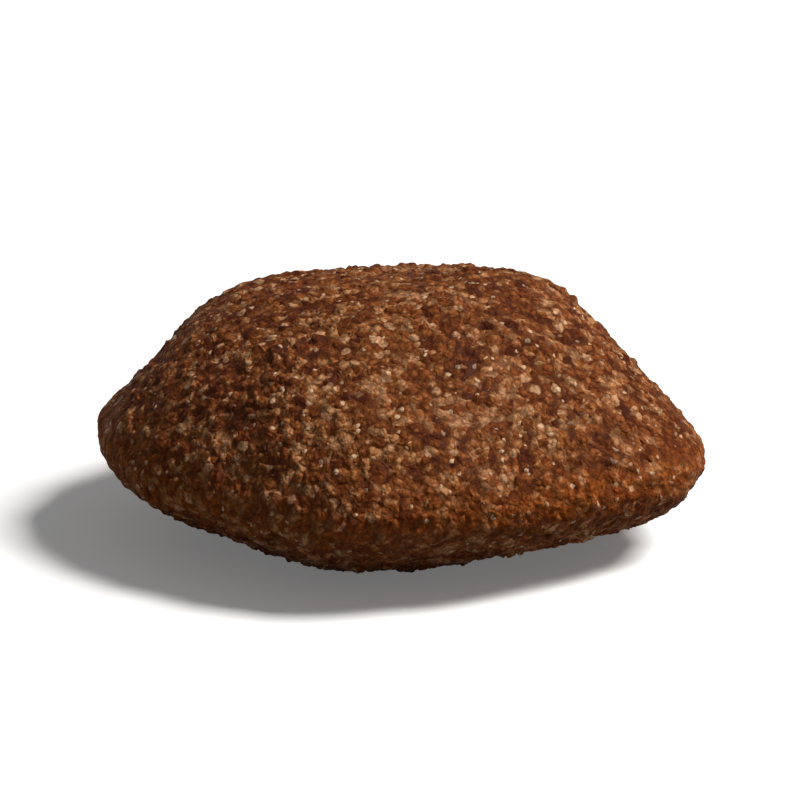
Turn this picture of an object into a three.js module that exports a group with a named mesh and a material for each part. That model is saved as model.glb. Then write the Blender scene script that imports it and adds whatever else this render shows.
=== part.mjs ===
// One kibble of dry pet food: a small baked pillow, domed on both faces, with a rounded-square outline
// and a blunt rim. It lies on the flat that its belly got while it dried on the belt.
// Millimetres, +Z up. The origin is on the floor under the middle of the kibble, +X runs along its
// longer diagonal, and the higher of its two domes faces up.
import * as THREE from "three";
import { mergeVertices } from "three/addons/utils/BufferGeometryUtils.js";

const { degToRad } = THREE.MathUtils;

// Driving dimensions
const LENGTH = 15.4; // between the two corners that lie along X
const DEPTH = 14.4; // between the two corners that lie along Y
const CROWN_HEIGHT = 4.2; // from the rim up to the top of the upper dome
const BELLY_DEPTH = 2.45; // from the rim down to the flat that the kibble lies on
const FLAT_CUT = 0.4; // how far below the flat the lower dome would reach if it were whole
const RIM_RADIUS = 1.3; // rounding of the rim, a layer of dough around a sharp-edged lens

// Outline
const OUTLINE_POWER = 2.5; // 2 gives an ellipse, and more gives a squarer outline
const CORNER_TURN = degToRad(-9); // of the four corners away from the axes
const SKEW = 0.018; // how far the outline leans to three sides, as a share of its radius
const SKEW_TURN = degToRad(212); // the first of those sides

// Section of the lens inside the layer
const CAP_POWER = 2.35; // 2 gives parabolic domes, and more gives flatter tops and broader shoulders
const RIM_BLEND = 3; // the higher it is, the later the domes leave the round of the rim

// Unevenness of the baked dough
const RIM_TILT = 0.13; // the rim is this much higher at -X, and lower at +X
const RIM_WAVE = 0.06; // and falls and rises twice around by this much
const SWELL = { height: 0.06, span: 5.4, count: 9 }; // slow swells and hollows
const PUCKER = { height: 0.018, span: 1.9, count: 14 }; // short puckers left by the steam
const GOLDEN_ANGLE = Math.PI * (3 - Math.sqrt(5));

// Bumps and dents of this one kibble: where on the crust, how wide, and how high or deep
const MARKS = [
  { around: 22, lift: 67, radius: 2.0, height: 0.42 }, // swollen shoulder beside the crown
  { around: 95, lift: 73, radius: 2.0, height: -0.16 }, // sunken place behind the crown
  { around: 168, lift: 36, radius: 1.4, height: -0.22 }, // hollow above the -X corner
  { around: 172, lift: 58, radius: 2.1, height: 0.36 }, // full shoulder over that hollow
  { around: 4, lift: 33, radius: 2.2, height: -0.26 }, // slope that fell in above the +X corner
  { around: -18, lift: -28, radius: 1.6, height: 0.22 }, // thick lip under the +X corner
  { around: -39, lift: -62, radius: 1.6, height: -0.34 }, // bruise beside the flat
];

const SURFACE_DETAIL = 16; // each face of the icosahedron is cut into (detail + 1) squared triangles

const CRUST = new THREE.MeshStandardMaterial({ color: 0x744628, roughness: 0.75, metalness: 0 });

// Distance of the rim from the middle in direction `around`, where 1 is the distance of a corner.
function outline(around) {
  const turned = around - CORNER_TURN - Math.PI / 4;
  const sum = Math.abs(Math.cos(turned)) ** OUTLINE_POWER + Math.abs(Math.sin(turned)) ** OUTLINE_POWER;
  const square = sum ** (-1 / OUTLINE_POWER) * 2 ** (1 / OUTLINE_POWER - 1 / 2);
  return square + SKEW * Math.cos(3 * (around - SKEW_TURN));
}

// Height of the rim above its mean level in direction `around`.
function rimRise(around) {
  return -RIM_TILT * Math.cos(around) - RIM_WAVE * Math.sin(2 * around);
}

// The smooth pillow's point that the unit vector `direction` leads to, measured from the rim's middle.
function pillowPoint(direction) {
  const around = Math.atan2(direction.y, direction.x);
  const level = Math.hypot(direction.x, direction.y);
  const climb = Math.abs(direction.z) ** RIM_BLEND;
  const spread = outline(around) * Math.max(1 - climb, 0) ** (1 / CAP_POWER);
  const dome = direction.z > 0 ? CROWN_HEIGHT : BELLY_DEPTH + FLAT_CUT;
  const lens = Math.sign(direction.z) * (dome - RIM_RADIUS) * climb;
  return new THREE.Vector3(
    ((LENGTH / 2 - RIM_RADIUS) * spread + RIM_RADIUS * level) * Math.cos(around),
    ((DEPTH / 2 - RIM_RADIUS) * spread + RIM_RADIUS * level) * Math.sin(around),
    lens + RIM_RADIUS * direction.z + rimRise(around) * level,
  );
}

// A sum of plane waves of about `span`, spread evenly over all directions, with a mean square of 1.
function waves(point, { span, count }) {
  let sum = 0;
  for (let i = 0; i < count; i++) {
    const z = 1 - (2 * i + 1) / count;
    const flat = Math.sqrt(1 - z * z);
    const turn = i * GOLDEN_ANGLE;
    const along = point.x * flat * Math.cos(turn) + point.y * flat * Math.sin(turn) + point.z * z;
    const stretch = 0.75 + i / (2 * count);
    sum += Math.sin((2 * Math.PI * along) / (span * stretch) + turn * turn);
  }
  return sum / Math.sqrt(count / 2);
}

const markCentres = MARKS.map(({ around, lift }) => {
  const direction = new THREE.Vector3().setFromSphericalCoords(1, degToRad(90 - lift), degToRad(around));
  return pillowPoint(new THREE.Vector3(direction.z, direction.x, direction.y));
});

// How far the crust stands out from the smooth pillow at `point`.
function unevenness(point) {
  const dough = SWELL.height * waves(point, SWELL) + PUCKER.height * waves(point, PUCKER);
  return MARKS.reduce((total, { radius, height }, i) => {
    const share = point.distanceTo(markCentres[i]) / radius;
    return total + height * Math.exp(-share * share);
  }, dough);
}

// The crust's point that the unit vector `direction` leads to, pressed flat where it meets the belt.
function crustPoint(direction) {
  const point = pillowPoint(direction);
  const dome = direction.z > 0 ? CROWN_HEIGHT : BELLY_DEPTH;
  const outward = new THREE.Vector3(direction.x / LENGTH, direction.y / DEPTH, direction.z / (2 * dome));
  point.addScaledVector(outward.normalize(), unevenness(point));
  return point.setZ(Math.max(point.z, -BELLY_DEPTH));
}

// The whole crust as one closed surface, brought to its driving sizes and stood on the floor.
function kibbleGeometry() {
  const geometry = new THREE.IcosahedronGeometry(1, SURFACE_DETAIL);
  geometry.deleteAttribute("normal");
  geometry.deleteAttribute("uv");
  const position = geometry.getAttribute("position");
  const direction = new THREE.Vector3();
  for (let i = 0; i < position.count; i++) {
    const point = crustPoint(direction.fromBufferAttribute(position, i).normalize());
    position.setXYZ(i, point.x, point.y, point.z);
  }
  geometry.computeBoundingBox();
  const size = geometry.boundingBox.getSize(new THREE.Vector3());
  const centre = geometry.boundingBox.getCenter(new THREE.Vector3());
  geometry.translate(-centre.x, -centre.y, BELLY_DEPTH);
  geometry.scale(LENGTH / size.x, DEPTH / size.y, (BELLY_DEPTH + CROWN_HEIGHT) / size.z);
  const closed = mergeVertices(geometry);
  closed.computeVertexNormals();
  return closed;
}

const kibble = new THREE.Mesh(kibbleGeometry(), CRUST);
kibble.name = "kibble";

const part = new THREE.Group();
part.add(kibble);

export default part;
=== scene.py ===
"""The looks of one kibble of dry pet food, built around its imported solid.

The crust is one closed surface on two square grids, one for each dome, that meet along the rim. Its form
follows the solid's own formula. The grains of meal, the pores and the flecks in it are worked out from
cells in space, so that they belong to the dough and run on from one dome to the other. Lengths of the
form and the crumb are in millimetres, and become metres when the mesh is made.
"""

import logging
import math
from dataclasses import dataclass
from enum import Enum, IntEnum
from itertools import product

import bpy
import numpy as np
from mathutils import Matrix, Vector
from numpy.typing import NDArray

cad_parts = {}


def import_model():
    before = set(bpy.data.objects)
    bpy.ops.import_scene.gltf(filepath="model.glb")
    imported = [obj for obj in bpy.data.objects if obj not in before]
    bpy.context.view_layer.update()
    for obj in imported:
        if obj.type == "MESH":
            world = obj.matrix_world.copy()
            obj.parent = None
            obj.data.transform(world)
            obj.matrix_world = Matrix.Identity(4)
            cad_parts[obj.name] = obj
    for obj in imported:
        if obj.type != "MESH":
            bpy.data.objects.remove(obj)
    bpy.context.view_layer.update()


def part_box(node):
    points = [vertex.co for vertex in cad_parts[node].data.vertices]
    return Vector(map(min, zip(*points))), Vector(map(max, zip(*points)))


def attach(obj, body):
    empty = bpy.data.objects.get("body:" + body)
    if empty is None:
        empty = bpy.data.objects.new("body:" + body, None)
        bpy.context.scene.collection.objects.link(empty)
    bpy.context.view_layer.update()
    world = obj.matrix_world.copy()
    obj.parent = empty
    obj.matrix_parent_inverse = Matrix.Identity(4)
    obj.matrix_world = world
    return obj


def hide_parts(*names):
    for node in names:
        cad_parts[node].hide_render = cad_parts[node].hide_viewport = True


Floats = NDArray[np.float64]
Whole = NDArray[np.int64]
Hashes = NDArray[np.uint32]
Colour = tuple[float, float, float]
Socket = bpy.types.NodeSocket

LOG = logging.getLogger("kibble")
MM = 0.001
CAD_NODE = "kibble"
BODY = "root"
PIECE = "kibble_crust"
BAKE_UV = "OFBake"

WHITE = (1.0, 1.0, 1.0, 1.0)
GOLDEN_ANGLE = math.pi * (3.0 - math.sqrt(5.0))
MERIDIAN_POINTS = 4001
TINY = 1e-9

# Odd factors and shifts that mix the bits of a cell's coordinates
CELL_FACTORS = (0x8DA6B343, 0xD8163841, 0xCB1AB31F)
SALT_FACTOR = 0x9E3779B1
FOLDS = ((15, 0x2C1B3C6D), (12, 0x297A2D39))
LAST_FOLD = 15
DRAW_SHIFT = 7
WORD = 2**32


class Dome(Enum):
    """The two domes of the pillow, by the side of the rim that they are on."""

    CROWN = 1
    BELLY = -1


class Mask(Enum):
    """The masks that the crust's mesh carries for its finish, by the name of their attribute."""

    TONE = "grain_tone"
    # Painted shade: how much the colour is darkened in the creases between grains and in the pores
    PAINTED_SHADE = "painted_shade"
    ORANGE_RIM = "orange_rim"
    FAT = "fat_film"


class Draw(IntEnum):
    """Which of a seed's chances is drawn, so that no trait of it goes with another."""

    ACROSS = 1
    ALONG = 2
    UP = 3
    PROUD = 4
    OPEN = 5
    WIDE = 6
    COARSE_TONE = 8
    FINE_TONE = 9


def srgb(red: int, green: int, blue: int) -> Colour:
    """Linear colour of three display levels, by the curve of the sRGB standard.

    Args:
        red: Level from 0 to 255.
        green: Level from 0 to 255.
        blue: Level from 0 to 255.

    Returns:
        The three linear shares that a shader takes.
    """
    shares = np.array([red, green, blue]) / 255.0
    low = shares / 12.92
    high = ((shares + 0.055) / 1.055) ** 2.4
    return tuple(float(share) for share in np.where(shares <= 0.04045, low, high))


def between(low: float, high: float, share: Floats) -> Floats:
    """Even scale: low at a share of 0, and high at 1."""
    return low + (high - low) * share


def ease(low: float, high: float, values: Floats) -> Floats:
    """Smooth step by a cubic: 0 at low and before it, and 1 at high and past it, whichever is greater."""
    share = np.clip((values - low) / (high - low), 0.0, 1.0)
    return share * share * (3.0 - 2.0 * share)


def scramble(cells: Whole, salt: int) -> Hashes:
    """One well-mixed 32-bit number for each cell of a space grid.

    Args:
        cells: Whole coordinates of the cells, one row each.
        salt: Makes one layer's numbers differ from another's.

    Returns:
        The numbers, from multiplying each coordinate by an odd constant and folding the bits.
    """
    spread = cells.astype(np.uint32) * np.array(CELL_FACTORS, np.uint32)
    mixed = spread[:, 0] ^ spread[:, 1] ^ spread[:, 2] ^ np.uint32(salt * SALT_FACTOR % WORD)
    for shift, factor in FOLDS:
        mixed = (mixed ^ (mixed >> np.uint32(shift))) * np.uint32(factor)
    return mixed ^ (mixed >> np.uint32(LAST_FOLD))


def chance(numbers: Hashes, draw: int) -> Floats:
    """Even chances from 0 to 1: each scrambled number, scrambled again with the draw that is wanted."""
    rows = np.stack([numbers, numbers >> np.uint32(DRAW_SHIFT), np.full_like(numbers, draw)], axis=1)
    return scramble(rows.astype(np.int64), draw) / float(WORD)


def drift(points: Floats, size: float, salt: int) -> Floats:
    """Smooth noise: random values at the corners of a space grid, eased between them.

    Args:
        points: Where it is wanted, in millimetres.
        size: Width of a cell of the grid.
        salt: Which noise it is.

    Returns:
        The noise, from -1 to 1.
    """
    scaled = points / size
    base = np.floor(scaled)
    part = ease(0.0, 1.0, scaled - base)
    total = np.zeros(len(points))
    for corner in product((0, 1), repeat=3):
        weight = np.prod(np.where(np.array(corner) == 1, part, 1.0 - part), axis=1)
        total += weight * chance(scramble(base.astype(np.int64) + corner, salt), salt)
    return 2.0 * total - 1.0


@dataclass(frozen=True)
class Patches:
    """Something that changes smoothly from place to place in the dough.

    Attributes:
        size: About how wide a patch is, in millimetres.
        weight: How far it goes up and down from its mean.
        salt: Which noise it follows.
        mean: The mean.
    """

    size: float
    weight: float
    salt: int
    mean: float = 0.0

    def at(self, points: Floats) -> Floats:
        """What it is at each point."""
        return self.mean + self.weight * drift(points, self.size, self.salt)


@dataclass(frozen=True)
class CellSample:
    """What a layer of scattered seeds is like at each point.

    Attributes:
        nearest: Distance to the nearest seed, in cell widths.
        gap: How much further the second nearest seed is.
        number: The nearest seed's own number.
    """

    nearest: Floats
    gap: Floats
    number: Hashes


def seek_seeds(points: Floats, size: float, salt: int) -> CellSample:
    """The nearest of the seeds that are scattered one to a cell of a space grid.

    Args:
        points: Where it is wanted, in millimetres.
        size: Width of a cell of the grid.
        salt: Which scatter it is.

    Returns:
        The distances and numbers, found among the 27 cells around each point.
    """
    scaled = points / size
    base = np.floor(scaled).astype(np.int64)
    nearest = np.full(len(points), np.inf)
    second = np.full(len(points), np.inf)
    number = np.zeros(len(points), np.uint32)
    for step in product((-1, 0, 1), repeat=3):
        cell = base + step
        found = scramble(cell, salt)
        places = [chance(found, draw) for draw in (Draw.ACROSS, Draw.ALONG, Draw.UP)]
        distance = np.linalg.norm(cell + np.stack(places, axis=1) - scaled, axis=1)
        closer = distance < nearest
        second = np.where(closer, nearest, np.minimum(second, distance))
        number = np.where(closer, found, number)
        nearest = np.where(closer, distance, nearest)
    return CellSample(nearest, second - nearest, number)


@dataclass(frozen=True)
class Swells:
    """Slow swells of the dough, as a sum of plane waves spread evenly over all directions.

    Attributes:
        height: Root of their mean square, in millimetres.
        span: About how long a wave is.
        count: How many waves there are.
        stretch: Length of the shortest wave and of the longest, as shares of the span.
    """

    height: float
    span: float
    count: int
    stretch: tuple[float, float] = (0.75, 1.25)

    def at(self, points: Floats) -> Floats:
        """Height of the swells.

        Wave i runs along the i-th direction of a golden spiral over a ball, with its own stretch and phase.

        Args:
            points: Where it is wanted.

        Returns:
            The heights, in millimetres.
        """
        total = np.zeros(len(points))
        for index, stretch in enumerate(np.linspace(*self.stretch, self.count, endpoint=False)):
            rise = 1.0 - (2 * index + 1) / self.count
            flat = math.sqrt(1.0 - rise * rise)
            turn = index * GOLDEN_ANGLE
            along = points @ np.array([flat * math.cos(turn), flat * math.sin(turn), rise])
            total += np.sin(2.0 * math.pi * along / (self.span * stretch) + turn * turn)
        return self.height * total / math.sqrt(self.count / 2.0)


@dataclass(frozen=True)
class Mark:
    """A bump or dent of this one kibble.

    Attributes:
        around_deg: Direction of its middle around the vertical.
        lift_deg: Direction of its middle above the rim.
        radius: How wide it is, in millimetres.
        height: How high it is, or how deep when below 0.
    """

    around_deg: float
    lift_deg: float
    radius: float
    height: float


@dataclass(frozen=True)
class PillowForm:
    """The form of the kibble: a sharp-edged lens with two domes, in an even layer of dough.

    Attributes:
        length: Size along X, in millimetres.
        depth: Size along Y.
        height: Size along Z.
        rim_share: Height of the rim above the flat, as a share of the height.
        flat_cut: How far below the flat the belly would reach if it were whole.
        rim_radius: Thickness of the layer, which rounds the rim.
        outline_power: 2 gives an elliptic outline, and more a squarer one.
        corner_turn_deg: Turn of the outline's four corners away from the axes.
        skew: How far the outline leans to three sides, as a share of its radius.
        skew_turn_deg: Direction of the first of those sides.
        cap_power: 2 gives parabolic domes, and more gives flatter tops.
        rim_blend: The higher it is, the later the domes leave the round of the rim.
        rim_tilt: How much higher the rim is at -X.
        rim_wave: How much the rim falls and rises twice around.
        swells: The slow and the short unevenness of the dough.
        marks: The bumps and dents.
    """

    length: float
    depth: float
    height: float
    rim_share: float = 2.45 / 6.65
    flat_cut: float = 0.4
    rim_radius: float = 1.3
    outline_power: float = 2.5
    corner_turn_deg: float = -9.0
    skew: float = 0.018
    skew_turn_deg: float = 212.0
    cap_power: float = 2.35
    rim_blend: float = 3.0
    rim_tilt: float = 0.13
    rim_wave: float = 0.06
    swells: tuple[Swells, ...] = (Swells(0.06, 5.4, 9), Swells(0.018, 1.9, 14))
    marks: tuple[Mark, ...] = (
        Mark(22.0, 67.0, 2.0, 0.42),
        Mark(95.0, 73.0, 2.0, -0.16),
        Mark(168.0, 36.0, 1.4, -0.22),
        Mark(172.0, 58.0, 2.1, 0.36),
        Mark(4.0, 33.0, 2.2, -0.26),
        Mark(-18.0, -28.0, 1.6, 0.22),
        Mark(-39.0, -62.0, 1.6, -0.34),
    )

    @property
    def belly_depth(self) -> float:
        """From the rim down to the flat."""
        return self.height * self.rim_share

    @property
    def crown_height(self) -> float:
        """From the rim up to the top."""
        return self.height - self.belly_depth

    def outline(self, around: Floats) -> Floats:
        """Distance of the rim from the middle, where 1 is a corner's.

        A superellipse with its corners near the axes, plus a wave that comes three times around.

        Args:
            around: Directions around the vertical.

        Returns:
            The distances.
        """
        power = self.outline_power
        turned = around - math.radians(self.corner_turn_deg) - math.pi / 4.0
        total = np.abs(np.cos(turned)) ** power + np.abs(np.sin(turned)) ** power
        square = total ** (-1.0 / power) * 2.0 ** (1.0 / power - 0.5)
        return square + self.skew * np.cos(3.0 * (around - math.radians(self.skew_turn_deg)))

    def section(self, lift: Floats) -> tuple[Floats, Floats, Floats]:
        """The lens and layer on one meridian.

        The lens climbs as the sine of lift to the power rim_blend, and its half width is what is left of
        1 after that climb, to the power 1 / cap_power. The layer is a quarter circle.

        Args:
            lift: Directions above the rim, from -90 to 90 degrees, in radians.

        Returns:
            The lens's half width as a share, the layer's half width, and the height over the rim.
        """
        climb = np.abs(np.sin(lift)) ** self.rim_blend
        spread = np.maximum(1.0 - climb, 0.0) ** (1.0 / self.cap_power)
        dome = np.where(lift > 0.0, self.crown_height, self.belly_depth + self.flat_cut)
        rise = np.sign(lift) * (dome - self.rim_radius) * climb + self.rim_radius * np.sin(lift)
        return spread, self.rim_radius * np.cos(lift), rise

    def pillow(self, around: Floats, lift: Floats) -> Floats:
        """Points of the smooth pillow, measured from the rim's middle.

        Args:
            around: Directions around the vertical.
            lift: Directions above the rim.

        Returns:
            The points, one row each, in millimetres.
        """
        spread, layer, rise = self.section(lift)
        reach = self.outline(around) * spread
        tilt = -self.rim_tilt * np.cos(around) - self.rim_wave * np.sin(2.0 * around)
        return np.stack(
            [
                ((self.length / 2.0 - self.rim_radius) * reach + layer) * np.cos(around),
                ((self.depth / 2.0 - self.rim_radius) * reach + layer) * np.sin(around),
                rise + tilt * np.cos(lift),
            ],
            axis=1,
        )

    def unevenness(self, points: Floats) -> Floats:
        """How far the crust stands out from the smooth pillow: its swells and its marks.

        Args:
            points: Points of the smooth pillow.

        Returns:
            The distances, in millimetres.
        """
        total = sum(swell.at(points) for swell in self.swells)
        for mark in self.marks:
            centre = self.pillow(np.radians([mark.around_deg]), np.radians([mark.lift_deg]))
            share = np.linalg.norm(points - centre, axis=1) / mark.radius
            total = total + mark.height * np.exp(-share * share)
        return total

    def crust(self, around: Floats, lift: Floats) -> Floats:
        """Points of the crust before its grain, stood on the floor and brought to the solid's sizes.

        Args:
            around: Directions around the vertical.
            lift: Directions above the rim.

        Returns:
            The points, one row each, in millimetres.
        """
        points = self.pillow(around, lift)
        dome = np.where(lift > 0.0, self.crown_height, self.belly_depth)
        outward = np.stack(
            [
                np.cos(lift) * np.cos(around) / self.length,
                np.cos(lift) * np.sin(around) / self.depth,
                np.sin(lift) / (2.0 * dome),
            ],
            axis=1,
        )
        outward /= np.linalg.norm(outward, axis=1, keepdims=True)
        points = points + outward * self.unevenness(points)[:, None]
        points[:, 2] = np.maximum(points[:, 2], -self.belly_depth)
        low, high = points.min(axis=0), points.max(axis=0)
        foot = np.array([(low[0] + high[0]) / 2.0, (low[1] + high[1]) / 2.0, low[2]])
        return (points - foot) * np.array([self.length, self.depth, self.height]) / (high - low)

    def lift_at(self, share: Floats, dome: Dome) -> Floats:
        """Directions above the rim that lie at even steps along a mean meridian.

        Args:
            share: Share of the way from the dome's middle to the rim.
            dome: Which dome it is.

        Returns:
            The directions, in radians, read off the meridian's summed length.
        """
        lift = dome.value * np.linspace(math.pi / 2.0, 0.0, MERIDIAN_POINTS)
        spread, layer, rise = self.section(lift)
        mean_radius = (self.length + self.depth) / 4.0 - self.rim_radius
        steps = np.hypot(np.diff(mean_radius * spread + layer), np.diff(rise))
        way = np.concatenate([[0.0], np.cumsum(steps)])
        return np.interp(share, way / way[-1], lift)


@dataclass(frozen=True)
class GrainLayer:
    """Grains of meal of one size, packed side by side.

    Attributes:
        size: Mean distance from grain to grain, in millimetres.
        height: How far the proudest grains stand out.
        tone: How much the tone differs from grain to grain.
        tone_draw: Which chance of a grain gives its tone.
        salt: Which scatter it is.
        cap: Radius of a grain's cap, as a share of the size.
        least_proud: Height of the lowest grains, as a share of the proudest ones'.
        proud_power: 1 makes all heights as likely, and more makes proud grains rarer.
        crease_width: How wide the crease between two grains is, as a share of the size.
        crease_level: Height in the crease, as a share of the grains'.
    """

    size: float
    height: float
    tone: float
    tone_draw: Draw
    salt: int
    cap: float = 1.05
    least_proud: float = 0.3
    proud_power: float = 1.6
    crease_width: float = 0.3
    crease_level: float = 0.45

    def lay(self, points: Floats) -> tuple[Floats, Floats]:
        """Relief and tone of the layer.

        Each grain is a round cap over its seed, as high as its own chance says, and it falls into a crease
        where two grains are equally near.

        Args:
            points: Where it is wanted.

        Returns:
            The relief in millimetres, and how far the grains' tone is from the mean.
        """
        grains = seek_seeds(points, self.size, self.salt)
        cap = np.sqrt(np.maximum(1.0 - (grains.nearest / self.cap) ** 2, 0.0))
        proud = between(self.least_proud, 1.0, chance(grains.number, Draw.PROUD) ** self.proud_power)
        level = between(self.crease_level, 1.0, ease(0.0, self.crease_width, grains.gap))
        return self.height * proud * cap * level, self.tone * (chance(grains.number, self.tone_draw) - 0.5)


@dataclass(frozen=True)
class Pores:
    """Pores that the steam left: round pits with a worn edge.

    Attributes:
        spacing: Mean distance between places where steam may have left a pore, in millimetres.
        share: Share of those places that have one.
        radius: Smallest and largest radius of a pore.
        wide_power: 1 makes all radii as likely, and more makes wide pores rarer.
        depth: Depth of a pore, as a share of its radius.
        floor: Radius of its floor, as a share of its own.
        edge: How ragged its edge is.
        salt: Which scatter it is.
    """

    spacing: float = 1.5
    share: float = 0.26
    radius: tuple[float, float] = (0.14, 0.34)
    wide_power: float = 2.0
    depth: float = 0.75
    floor: float = 0.3
    edge: Patches = Patches(0.2, 0.06, 53)
    salt: int = 47

    def sink(self, points: Floats) -> Floats:
        """Depth of the pores.

        Args:
            points: Points of the crust.

        Returns:
            The depths, in millimetres.
        """
        places = seek_seeds(points, self.spacing, self.salt)
        radius = between(*self.radius, chance(places.number, Draw.WIDE) ** self.wide_power)
        distance = places.nearest * self.spacing + self.edge.at(points)
        is_open = chance(places.number, Draw.OPEN) < self.share
        return np.where(is_open, self.depth * radius * ease(1.0, self.floor, distance / radius), 0.0)


@dataclass(frozen=True)
class Crumb:
    """The crumb of the crust: lumps of dough, packed meal and pores.

    Attributes:
        lumps: The lumps of dough, from the largest to the smallest, in millimetres.
        coarse: The coarse meal.
        fine: The fine meal.
        warp: How far the dough has drawn the grains out of shape along each axis, in millimetres.
        coarseness: How much of the meal's relief stands out.
        pores: The pores.
        tones: The tone of the dough under the grains.
        crease_depth: Depth at which the painted shade in a crease between grains is darkest, in millimetres.
        crease_shade: How dark that painted shade is there, where a pore's floor is 1.
        pore_depths: Depths at which the painted shade in a pore begins and is darkest, in millimetres.
        rim_reach: How far the orange rim reaches, as the sine of the direction above the rim.
        rim_orange: How orange the rim is.
        fat: How much fat the crust has taken up.
    """

    lumps: tuple[Patches, ...] = (Patches(1.7, 0.04, 67), Patches(0.8, 0.03, 67))
    coarse: GrainLayer = GrainLayer(0.42, 0.1, 0.3, Draw.COARSE_TONE, 11)
    fine: GrainLayer = GrainLayer(0.24, 0.1, 0.2, Draw.FINE_TONE, 23)
    warp: tuple[Patches, ...] = (Patches(0.4, 0.08, 31), Patches(0.4, 0.08, 32), Patches(0.4, 0.08, 33))
    coarseness: Patches = Patches(2.6, 0.4, 61, mean=1.0)
    pores: Pores = Pores()
    tones: tuple[Patches, ...] = (Patches(3.1, 0.13, 71, mean=0.5), Patches(1.2, 0.14, 73))
    crease_depth: float = 0.1
    crease_shade: float = 0.7
    pore_depths: tuple[float, float] = (0.02, 0.12)
    rim_reach: float = 0.6
    rim_orange: Patches = Patches(1.7, 0.4, 79, mean=0.6)
    fat: Patches = Patches(1.9, 0.6, 83, mean=0.55)

    def dress(self, points: Floats, lift: Floats) -> tuple[Floats, dict[Mask, Floats]]:
        """Relief and masks of the crust.

        The relief is the sum of the lumps and the two layers of meal, less the pores.

        Args:
            points: Points of the crust before its grain.
            lift: Their directions above the rim.

        Returns:
            How far each point moves outwards in millimetres, and the masks for the finish.
        """
        bent = points + np.stack([move.at(points) for move in self.warp], axis=1)
        coarse_relief, coarse_tone = self.coarse.lay(bent)
        fine_relief, fine_tone = self.fine.lay(bent)
        pore_depth = self.pores.sink(points)
        grain = self.coarseness.at(points) * (coarse_relief + fine_relief)
        grain = grain - grain.mean() - pore_depth
        swelling = sum(lump.at(points) for lump in self.lumps)
        dough_tone = sum(tone.at(points) for tone in self.tones)
        # Painted shade: the colour is darkened in the creases between grains and on the floors of the pores
        crease = self.crease_shade * ease(0.0, -self.crease_depth, grain)
        masks = {
            Mask.TONE: dough_tone + coarse_tone + fine_tone,
            Mask.PAINTED_SHADE: np.maximum(crease, ease(*self.pore_depths, pore_depth)),
            Mask.ORANGE_RIM: ease(self.rim_reach, 0.0, np.abs(np.sin(lift))) * self.rim_orange.at(points),
            Mask.FAT: np.clip(self.fat.at(points), 0.0, 1.0),
        }
        return swelling + grain, masks


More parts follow.
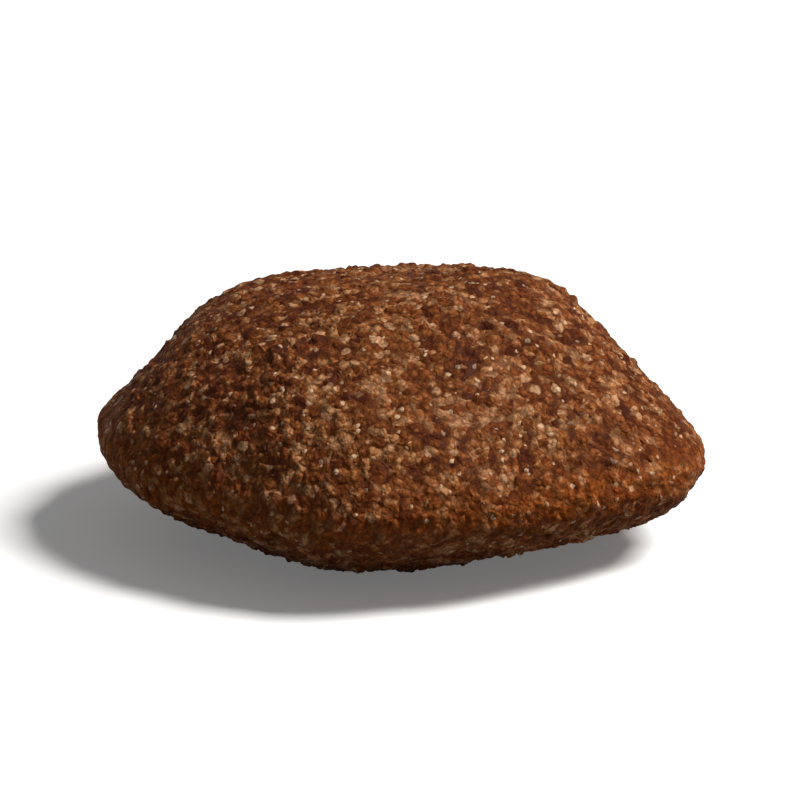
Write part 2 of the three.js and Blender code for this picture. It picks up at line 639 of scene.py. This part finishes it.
class Graph:
    """The nodes of a material or of the world, with short calls for the ones that are used here."""

    def __init__(self, owner: bpy.types.Material | bpy.types.World) -> None:
        """Starts an empty graph.

        Args:
            owner: The material or world that gets the nodes.
        """
        owner.use_nodes = True
        self.tree = owner.node_tree
        self.tree.nodes.clear()

    def node(self, kind: str) -> bpy.types.Node:
        """A new node of that kind."""
        return self.tree.nodes.new(kind)

    def join(self, source: Socket, target: Socket) -> None:
        """Links an output to an input."""
        self.tree.links.new(source, target)

    def surface(self) -> bpy.types.Node:
        """The principled shader, already joined to the output.

        Returns:
            The shader's node.
        """
        shader = self.node("ShaderNodeBsdfPrincipled")
        self.join(shader.outputs["BSDF"], self.node("ShaderNodeOutputMaterial").inputs["Surface"])
        return shader

    def seen(self) -> Socket:
        """Tells what is looked at, straight or in a gloss or through glass, from what only lights.

        Returns:
            1 for a ray that looks, and 0 for one that lights.
        """
        path = self.node("ShaderNodeLightPath").outputs
        straight_or_gloss = self.math("MAXIMUM", path["Is Camera Ray"], path["Is Glossy Ray"])
        return self.math("MAXIMUM", straight_or_gloss, path["Is Transmission Ray"])

    def mask(self, mask: Mask) -> Socket:
        """One of the mesh's masks.

        Args:
            mask: Which one.

        Returns:
            Its value.
        """
        reader = self.node("ShaderNodeAttribute")
        reader.attribute_name = mask.value
        return reader.outputs["Fac"]

    def noise(self, place: Socket, size: float) -> Socket:
        """Smooth noise in space, with finer layers on it.

        Args:
            place: The coordinates, in metres.
            size: Width of the noise's lumps, in millimetres.

        Returns:
            The noise, from 0 to 1.
        """
        texture = self.node("ShaderNodeTexNoise")
        texture.inputs["Scale"].default_value = 1.0 / (size * MM)
        self.join(place, texture.inputs["Vector"])
        return texture.outputs["Fac"]

    def stir(self, place: Socket, size: float, reach: float) -> Socket:
        """Coordinates moved by smooth noise.

        Args:
            place: The coordinates, in metres.
            size: Width of the noise's lumps, in millimetres.
            reach: How far a place moves, in millimetres.

        Returns:
            The moved coordinates.
        """
        texture = self.noise(place, size).node
        middle = self.node("ShaderNodeVectorMath")
        middle.operation = "SUBTRACT"
        middle.inputs[1].default_value = (0.5, 0.5, 0.5)
        self.join(texture.outputs["Color"], middle.inputs[0])
        moved = self.node("ShaderNodeVectorMath")
        moved.operation = "MULTIPLY_ADD"
        moved.inputs[1].default_value = (2.0 * reach * MM,) * 3
        self.join(middle.outputs["Vector"], moved.inputs[0])
        self.join(place, moved.inputs[2])
        return moved.outputs["Vector"]

    def grains(self, place: Socket, size: float) -> tuple[Socket, ...]:
        """Scattered grains in space.

        Args:
            place: The coordinates, in metres.
            size: Mean distance from grain to grain, in millimetres.

        Returns:
            The distance from the nearest grain's middle in grain sizes, and three chances of that grain.
        """
        texture = self.node("ShaderNodeTexVoronoi")
        texture.inputs["Scale"].default_value = 1.0 / (size * MM)
        self.join(place, texture.inputs["Vector"])
        chances = self.node("ShaderNodeSeparateColor")
        self.join(texture.outputs["Color"], chances.inputs["Color"])
        return texture.outputs["Distance"], *chances.outputs

    def step(self, value: Socket, low: float, high: float) -> Socket:
        """Smooth step: 0 up to low and 1 from high on, or the other way round where high is below low.

        Args:
            value: What is stepped.
            low: Where the step begins.
            high: Where it ends.

        Returns:
            The step, from 0 to 1.
        """
        mapping = self.node("ShaderNodeMapRange")
        mapping.interpolation_type = "SMOOTHSTEP"
        mapping.inputs["From Min"].default_value = min(low, high)
        mapping.inputs["From Max"].default_value = max(low, high)
        mapping.inputs["To Min"].default_value = float(high < low)
        mapping.inputs["To Max"].default_value = float(low < high)
        self.join(value, mapping.inputs["Value"])
        return mapping.outputs["Result"]

    def math(self, operation: str, *values: Socket | float) -> Socket:
        """A sum, product or other step on numbers.

        Args:
            operation: Blender's name of the step.
            values: What it works on, outputs or plain numbers.

        Returns:
            The result.
        """
        step = self.node("ShaderNodeMath")
        step.operation = operation
        for socket, value in zip(step.inputs, values):
            if isinstance(value, Socket):
                self.join(value, socket)
            else:
                socket.default_value = value
        return step.outputs["Value"]

    def ramp(self, share: Socket, colours: tuple[Colour, ...]) -> Socket:
        """A scale of colours at even steps.

        Args:
            share: Where on the scale, from 0 to 1.
            colours: At least two colours.

        Returns:
            The colour there.
        """
        scale = self.node("ShaderNodeValToRGB")
        stops = scale.color_ramp.elements
        for index, colour in enumerate(colours):
            position = index / (len(colours) - 1)
            stop = stops[index] if index < len(stops) else stops.new(position)
            stop.position = position
            stop.color = (*colour, 1.0)
        self.join(share, scale.inputs["Fac"])
        return scale.outputs["Color"]

    def blend(self, under: Socket, over: Colour, share: Socket) -> Socket:
        """A colour laid over another.

        Args:
            under: The colour below.
            over: The colour on top.
            share: How much of it covers, from 0 to 1.

        Returns:
            The mixed colour.
        """
        mix = self.node("ShaderNodeMix")
        mix.data_type = "RGBA"
        mix.clamp_factor = True
        self.join(share, mix.inputs["Factor"])
        self.join(under, mix.inputs["A"])
        mix.inputs["B"].default_value = (*over, 1.0)
        return mix.outputs["Result"]


@dataclass(frozen=True)
class MealSockets:
    """What a layer of fine meal gives the crust at each place, as outputs of its nodes.

    Attributes:
        tone: How far the grain's tone is from the mean.
        relief: Height of the grain's cap, in millimetres.
        crease: How much of the painted shade in the crease around the grain shows, from 0 to 1.
        fleck: How much of a pale grain shows, from 0 to 1.
    """

    tone: Socket
    relief: Socket
    crease: Socket
    fleck: Socket


@dataclass(frozen=True)
class Meal:
    """Meal of one fineness that is too fine for the mesh.

    Attributes:
        size: Mean distance from grain to grain, in millimetres.
        height: How far the proudest grains stand out, in millimetres.
        tone: How much the tone differs from grain to grain.
        pale_share: Share of the grains that are pale.
        pale: Colour of those grains.
        least_proud: Height of the lowest grains, as a share of the proudest ones'.
        cap: Radius of a grain's cap, as a share of the size.
        crease_start: Where the painted shade in the crease around the grain begins, as a share of the size.
        painted_shade_cover: How much of that painted shade covers at the edge of the cap.
        fleck: Where a pale grain's colour ends and where it is full, as shares of the size.
    """

    size: float
    height: float
    tone: float
    pale_share: float
    pale: Colour
    least_proud: float = 0.3
    cap: float = 0.75
    crease_start: float = 0.42
    painted_shade_cover: float = 0.6
    fleck: tuple[float, float] = (0.62, 0.36)

    def scatter(self, graph: Graph, place: Socket) -> MealSockets:
        """Scatters the grains in space.

        A place takes after the grain whose middle is nearest to it: its cap eases down to its edge, and the
        painted shade of the crease eases in before that. The grains with the highest chances are pale.

        Args:
            graph: The nodes of the finish.
            place: The coordinates, in metres.

        Returns:
            What the layer gives.
        """
        distance, shade, proud, kind = graph.grains(place, self.size)
        proud = graph.math("MULTIPLY_ADD", proud, 1.0 - self.least_proud, self.least_proud)
        cap = graph.math("MULTIPLY", graph.step(distance, self.cap, 0.0), proud)
        # Painted shade: the colour darkens in the crease around each grain
        crease = graph.step(distance, self.crease_start, self.cap)
        pale = graph.step(kind, 1.0 - self.pale_share, 1.0 - self.pale_share / 2.0)
        return MealSockets(
            tone=graph.math("MULTIPLY", graph.math("SUBTRACT", shade, 0.5), self.tone),
            relief=graph.math("MULTIPLY", cap, self.height),
            crease=graph.math("MULTIPLY", crease, self.painted_shade_cover),
            fleck=graph.math("MULTIPLY", pale, graph.step(distance, *self.fleck)),
        )


@dataclass(frozen=True)
class CrustFinish:
    """Baked brown crust: grains of several browns, pale flecks, painted shade in the creases and a thin film
    of fat.

    Attributes:
        browns: Colours of the grains, from the darkest to the palest.
        crease: Colour of the painted shade in the creases and pores.
        painted_shade_cover: How much of that painted shade covers the mesh's own creases and pores.
        rim_orange: Orange colour along the rim.
        rim_orange_cover: How much of it covers the rim.
        fleck_cover: How much of a pale grain's colour covers.
        dry: Roughness of the dry dough.
        dry_specular: Its specular level, low because it is porous; a solid's is 0.5.
        film: Roughness of the film of fat.
        film_weight: How much of a pale grain the film covers.
        film_trace: How much of any other place it covers at most.
        meals: The meal that is too fine for the mesh.
        stir: Width of the dough's swirls and how far they have drawn those grains, in millimetres.
        dust: Width and height of the dust on the grains, in millimetres.
    """

    browns: tuple[Colour, ...] = (srgb(78, 31, 7), srgb(118, 60, 22), srgb(150, 87, 41), srgb(190, 136, 92))
    # Painted shade: the colour laid into the creases and pores
    crease: Colour = srgb(50, 18, 3)
    painted_shade_cover: float = 0.75
    rim_orange: Colour = srgb(168, 84, 20)
    rim_orange_cover: float = 0.7
    fleck_cover: float = 0.85
    dry: float = 0.8
    dry_specular: float = 0.08
    film: float = 0.36
    film_weight: float = 0.2
    film_trace: float = 0.05
    meals: tuple[Meal, ...] = (
        Meal(0.27, 0.07, 0.85, 0.075, srgb(204, 153, 109)),
        Meal(0.13, 0.035, 0.5, 0.06, srgb(222, 184, 146)),
    )
    stir: tuple[float, float] = (0.3, 0.1)
    dust: tuple[float, float] = (0.05, 0.015)

    def paint(self, graph: Graph, layers: list[MealSockets]) -> Socket:
        """Colour: browns by tone, orange on the rim, pale grains, and the painted shade of the creases over
        them all.

        Args:
            graph: The nodes of the finish.
            layers: What each layer of meal gives.

        Returns:
            The colour.
        """
        tone = graph.mask(Mask.TONE)
        # Painted shade: the mesh's creases and pores and the creases around the fine grains are darkened
        crease = graph.math("MULTIPLY", graph.mask(Mask.PAINTED_SHADE), self.painted_shade_cover)
        for layer in layers:
            tone = graph.math("ADD", tone, layer.tone)
            crease = graph.math("MAXIMUM", crease, layer.crease)
        rim_orange_share = graph.math("MULTIPLY", graph.mask(Mask.ORANGE_RIM), self.rim_orange_cover)
        colour = graph.blend(graph.ramp(tone, self.browns), self.rim_orange, rim_orange_share)
        for meal, layer in zip(self.meals, layers):
            colour = graph.blend(colour, meal.pale, graph.math("MULTIPLY", layer.fleck, self.fleck_cover))
        return graph.blend(colour, self.crease, crease)

    def grease(self, graph: Graph, layers: list[MealSockets]) -> Socket:
        """Film of fat: a trace where the crust has taken it up, and more on the pale grains.

        Args:
            graph: The nodes of the finish.
            layers: What each layer of meal gives.

        Returns:
            How much the film covers.
        """
        film = graph.math("MULTIPLY", graph.mask(Mask.FAT), self.film_trace)
        for layer in layers:
            film = graph.math("MAXIMUM", film, graph.math("MULTIPLY", layer.fleck, self.film_weight))
        return film

    def emboss(self, graph: Graph, place: Socket, layers: list[MealSockets]) -> Socket:
        """Fine relief: the caps of the grains, and the dust on them.

        Args:
            graph: The nodes of the finish.
            place: The coordinates, in metres.
            layers: What each layer of meal gives.

        Returns:
            The direction that the surface faces.
        """
        dust_size, dust_height = self.dust
        height = graph.math("MULTIPLY", graph.noise(place, dust_size), dust_height)
        for layer in layers:
            height = graph.math("ADD", height, layer.relief)
        bump = graph.node("ShaderNodeBump")
        bump.inputs["Distance"].default_value = MM
        graph.join(height, bump.inputs["Height"])
        return bump.outputs["Normal"]

    def material(self) -> bpy.types.Material:
        """The crust's material, from the mesh's masks and from grains in its own coordinates.

        Returns:
            The material.
        """
        material = bpy.data.materials.new("baked_crust")
        graph = Graph(material)
        place = graph.node("ShaderNodeTexCoord").outputs["Object"]
        stirred = graph.stir(place, *self.stir)
        layers = [meal.scatter(graph, stirred) for meal in self.meals]
        inputs = graph.surface().inputs
        graph.join(self.paint(graph, layers), inputs["Base Color"])
        graph.join(self.grease(graph, layers), inputs["Coat Weight"])
        facing = self.emboss(graph, place, layers)
        for name in ("Normal", "Coat Normal"):
            graph.join(facing, inputs[name])
        inputs["Coat Roughness"].default_value = self.film
        inputs["Roughness"].default_value = self.dry
        inputs["Specular IOR Level"].default_value = self.dry_specular
        return material


@dataclass
class Kibble:
    """The kibble itself: its form, the crumb of its crust, and its finish.

    Attributes:
        form: The form.
        crumb: The fine structure.
        finish: The finish.
        steps: Steps of each dome's grid along each side.
        chart_margin: Free strip around each dome's half of the flat map, as a share of the map.
    """

    form: PillowForm
    crumb: Crumb
    finish: CrustFinish
    steps: int = 221
    chart_margin: float = 0.006

    def grid(self) -> tuple[Floats, Floats]:
        """The square grid of one dome, drawn out to a disc.

        Rings of the square become rings of the disc, so that steps keep their size.

        Returns:
            The direction around and the share of the way from the middle to the rim, of each grid point.
        """
        side = np.linspace(-1.0, 1.0, self.steps + 1)
        across, along = np.meshgrid(side, side, indexing="ij")
        share = np.maximum(np.abs(across), np.abs(along))
        ring = np.maximum(share, TINY)
        wide = np.abs(across) >= np.abs(along)
        turn = math.pi / 4.0 * np.where(wide, along / ring * np.sign(across), across / ring * np.sign(along))
        from_x = np.where(across < 0, math.pi, 0.0) + turn
        from_y = np.where(along < 0, -math.pi / 2.0, math.pi / 2.0) - turn
        return np.where(wide, from_x, from_y), share

    def lattice(self) -> tuple[Whole, Whole]:
        """Numbers of the grid points of both domes, which share those on the rim.

        Returns:
            The crown's numbers and the belly's, each on its square grid.
        """
        count = self.steps + 1
        crown = np.arange(count * count).reshape(count, count)
        belly = crown.copy()
        inner = self.steps - 1
        belly[1:-1, 1:-1] = count * count + np.arange(inner * inner).reshape(inner, inner)
        return crown, belly

    @staticmethod
    def quads(numbers: Whole, dome: Dome) -> Whole:
        """The corners of each face of a dome's grid, one row each, in the order that faces it outwards."""
        corners = [numbers[:-1, :-1], numbers[1:, :-1], numbers[1:, 1:], numbers[:-1, 1:]]
        return np.stack([corner.ravel() for corner in corners[:: dome.value]], axis=1)

    @staticmethod
    def normals(points: Floats, faces: Whole) -> Floats:
        """Outward directions at the points: the summed areas of the faces around each.

        Args:
            points: The points.
            faces: The corners of the faces.

        Returns:
            The directions, each of length 1.
        """
        first, second, third, fourth = (points[corners] for corners in faces.T)
        area = np.cross(third - first, fourth - second)
        total = np.zeros_like(points)
        for corners in faces.T:
            np.add.at(total, corners, area)
        return total / np.linalg.norm(total, axis=1, keepdims=True)

    def charts(self) -> Floats:
        """The flat map of the crust: each dome's grid fills one half of the square.

        Returns:
            The map's coordinates of every corner of every face.
        """
        margin = self.chart_margin
        count = self.steps + 1
        across, along = np.meshgrid(np.arange(count), np.arange(count), indexing="ij")
        numbers = np.arange(count * count).reshape(count, count)
        charts = []
        for dome in Dome:
            start = 0.0 if dome is Dome.CROWN else 0.5
            left = between(start + margin, start + 0.5 - margin, across.ravel() / self.steps)
            up = between(margin, 1.0 - margin, along.ravel() / self.steps)
            corners = self.quads(numbers, dome).ravel()
            charts.append(np.stack([left[corners], up[corners]], axis=1))
        return np.concatenate(charts)

    def build(self) -> bpy.types.Object:
        """Makes the crust as one closed mesh at its place, with its masks, map and finish.

        Returns:
            The piece.
        """
        around, share = self.grid()
        crown, belly = self.lattice()
        inside = (slice(1, -1), slice(1, -1))
        whole = np.concatenate([around.ravel(), around[inside].ravel()])
        lift = np.concatenate(
            [
                self.form.lift_at(share, Dome.CROWN).ravel(),
                self.form.lift_at(share[inside], Dome.BELLY).ravel(),
            ]
        )
        faces = np.concatenate([self.quads(crown, Dome.CROWN), self.quads(belly, Dome.BELLY)])
        points = self.form.crust(whole, lift)
        relief, masks = self.crumb.dress(points, lift)
        points = points + self.normals(points, faces) * relief[:, None]
        points[:, 2] = np.maximum(points[:, 2], 0.0)
        piece = self.mesh(points * MM, faces)
        for mask, values in masks.items():
            layer = piece.data.attributes.new(mask.value, "FLOAT", "POINT")
            layer.data.foreach_set("value", values.astype(np.float32))
        chart = piece.data.uv_layers.new(name=BAKE_UV)
        chart.data.foreach_set("uv", self.charts().astype(np.float32).ravel())
        piece.data.materials.append(self.finish.material())
        return piece

    @staticmethod
    def mesh(points: Floats, faces: Whole) -> bpy.types.Object:
        """A smooth-shaded mesh object at the origin.

        Args:
            points: The points, in metres.
            faces: The corners of the faces, one row each.

        Returns:
            The object, linked to the scene.
        """
        count, corners = faces.shape
        mesh = bpy.data.meshes.new(PIECE)
        mesh.vertices.add(len(points))
        mesh.vertices.foreach_set("co", points.astype(np.float32).ravel())
        mesh.loops.add(faces.size)
        mesh.loops.foreach_set("vertex_index", faces.astype(np.int32).ravel())
        mesh.polygons.add(count)
        mesh.polygons.foreach_set("loop_start", np.arange(0, faces.size, corners, dtype=np.int32))
        mesh.polygons.foreach_set("use_smooth", np.ones(count, bool))
        mesh.update(calc_edges=True)
        mesh.validate()
        piece = bpy.data.objects.new(PIECE, mesh)
        bpy.context.scene.collection.objects.link(piece)
        return piece


def toward(around_deg: float, lift_deg: float) -> Vector:
    """Direction to a stand, by the degrees that it is to the right of -Y and above the floor."""
    around, lift = math.radians(around_deg), math.radians(lift_deg)
    return Vector((math.sin(around) * math.cos(lift), -math.cos(around) * math.cos(lift), math.sin(lift)))


@dataclass(frozen=True)
class Softbox:
    """A square soft lamp that looks at the kibble.

    Attributes:
        name: The lamp's name.
        around_deg: Where it stands, to the right of the camera's side.
        lift_deg: How high it stands.
        distance: How far it is, in metres.
        width: Width of its face, in metres.
        light: How bright a white face turned to it would be.
        warmth: Its colour.
    """

    name: str
    around_deg: float
    lift_deg: float
    distance: float
    width: float
    light: float
    warmth: Colour

    def place(self) -> bpy.types.Object:
        """Puts the lamp into the scene.

        The lamp's power over the square of pi times its distance is how bright it makes a white face.

        Returns:
            The lamp.
        """
        lamp = bpy.data.lights.new(self.name, "AREA")
        lamp.size = self.width
        lamp.color = self.warmth
        lamp.energy = self.light * (math.pi * self.distance) ** 2
        stand = bpy.data.objects.new(self.name, lamp)
        bpy.context.scene.collection.objects.link(stand)
        stand.location = toward(self.around_deg, self.lift_deg) * self.distance
        stand.rotation_euler = stand.location.to_track_quat("Z", "Y").to_euler()
        stand.visible_camera = False
        return stand


@dataclass(frozen=True)
class Studio:
    """The pale floor, the soft light and the camera.

    Attributes:
        view_around_deg: Direction of the camera around the kibble.
        view_lift_deg: Height of the camera above the floor.
        lens: Focal length, in millimetres.
        fill_share: Share of the picture's width that the kibble takes up.
        clip_start: Nearest distance that the camera sees, in metres.
        floor_width: Width of the floor, in metres.
        floor_bounce: Share of the light that the floor throws back at the kibble.
        floor_lift: How much brighter the floor looks than its light makes it.
        sky: Brightness of the plain surroundings.
        lamps: The lamps.
    """

    view_around_deg: float = 0.0
    view_lift_deg: float = 18.0
    lens: float = 300.0
    fill_share: float = 0.76
    clip_start: float = 0.005
    floor_width: float = 6.0
    floor_bounce: float = 0.25
    floor_lift: float = 0.14
    sky: float = 0.11
    lamps: tuple[Softbox, ...] = (
        Softbox("key_softbox", 84.0, 52.0, 0.4, 0.12, 1.2, (1.0, 0.985, 0.96)),
    )

    def lay_floor(self) -> bpy.types.Object:
        """Lays the floor, a matt sheet that looks white and keeps the kibble's shadow.

        Returns:
            The floor.
        """
        half = self.floor_width / 2.0
        mesh = bpy.data.meshes.new("floor")
        corners = [(-half, -half, 0.0), (half, -half, 0.0), (half, half, 0.0), (-half, half, 0.0)]
        mesh.from_pydata(corners, [], [(0, 1, 2, 3)])
        mesh.materials.append(self.floor_finish())
        floor = bpy.data.objects.new("floor", mesh)
        bpy.context.scene.collection.objects.link(floor)
        return floor

    def floor_finish(self) -> bpy.types.Material:
        """The floor's material: white and a little lifted where it is seen, and darker where it only lights.

        Returns:
            The material.
        """
        material = bpy.data.materials.new("pale_floor")
        graph = Graph(material)
        inputs = graph.surface().inputs
        seen = graph.seen()
        shade = graph.math("MULTIPLY_ADD", seen, 1.0 - self.floor_bounce, self.floor_bounce)
        graph.join(shade, inputs["Base Color"])
        graph.join(graph.math("MULTIPLY", seen, self.floor_lift), inputs["Emission Strength"])
        inputs["Emission Color"].default_value = WHITE
        inputs["Roughness"].default_value = 1.0
        inputs["Specular IOR Level"].default_value = 0.0
        return material

    def hang_sky(self) -> None:
        """Plain surroundings that light the kibble evenly, and are white where they are seen."""
        world = bpy.data.worlds.new("plain_surroundings")
        bpy.context.scene.world = world
        graph = Graph(world)
        background = graph.node("ShaderNodeBackground")
        background.inputs["Color"].default_value = WHITE
        strength = graph.math("MULTIPLY_ADD", graph.seen(), 1.0 - self.sky, self.sky)
        graph.join(strength, background.inputs["Strength"])
        output = graph.node("ShaderNodeOutputWorld")
        graph.join(background.outputs["Background"], output.inputs["Surface"])

    def set_camera(self, low: Vector, high: Vector) -> bpy.types.Object:
        """Sets the camera at the photograph's viewing angle, so far that the kibble fills its share.

        Args:
            low: Lowest corner of the kibble's box.
            high: Highest corner.

        Returns:
            The camera.
        """
        data = bpy.data.cameras.new("camera")
        data.lens = self.lens
        data.clip_start = self.clip_start
        camera = bpy.data.objects.new("camera", data)
        bpy.context.scene.collection.objects.link(camera)
        distance = (high.x - low.x) / self.fill_share * self.lens / data.sensor_width
        direction = toward(self.view_around_deg, self.view_lift_deg)
        camera.location = (low + high) / 2.0 + direction * distance
        camera.rotation_euler = direction.to_track_quat("Z", "Y").to_euler()
        bpy.context.scene.camera = camera
        return camera

    def set_up(self, low: Vector, high: Vector) -> None:
        """Sets up everything around the kibble.

        Args:
            low: Lowest corner of the kibble's box.
            high: Highest corner.
        """
        bpy.context.scene.view_settings.view_transform = "Standard"
        self.lay_floor()
        self.hang_sky()
        for lamp in self.lamps:
            lamp.place()
        self.set_camera(low, high)


def main() -> None:
    """Loads the solid, builds the kibble around it and sets up the studio."""
    logging.basicConfig(level=logging.INFO, format="%(name)s: %(message)s")
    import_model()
    low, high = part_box(CAD_NODE)
    length, depth, height = (high - low) / MM
    kibble = Kibble(PillowForm(length, depth, height), Crumb(), CrustFinish())
    piece = kibble.build()
    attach(piece, BODY)
    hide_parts(CAD_NODE)
    LOG.info("%s: %d faces on body %s", piece.name, len(piece.data.polygons), BODY)
    Studio().set_up(low, high)


if __name__ == "__main__":
    main()
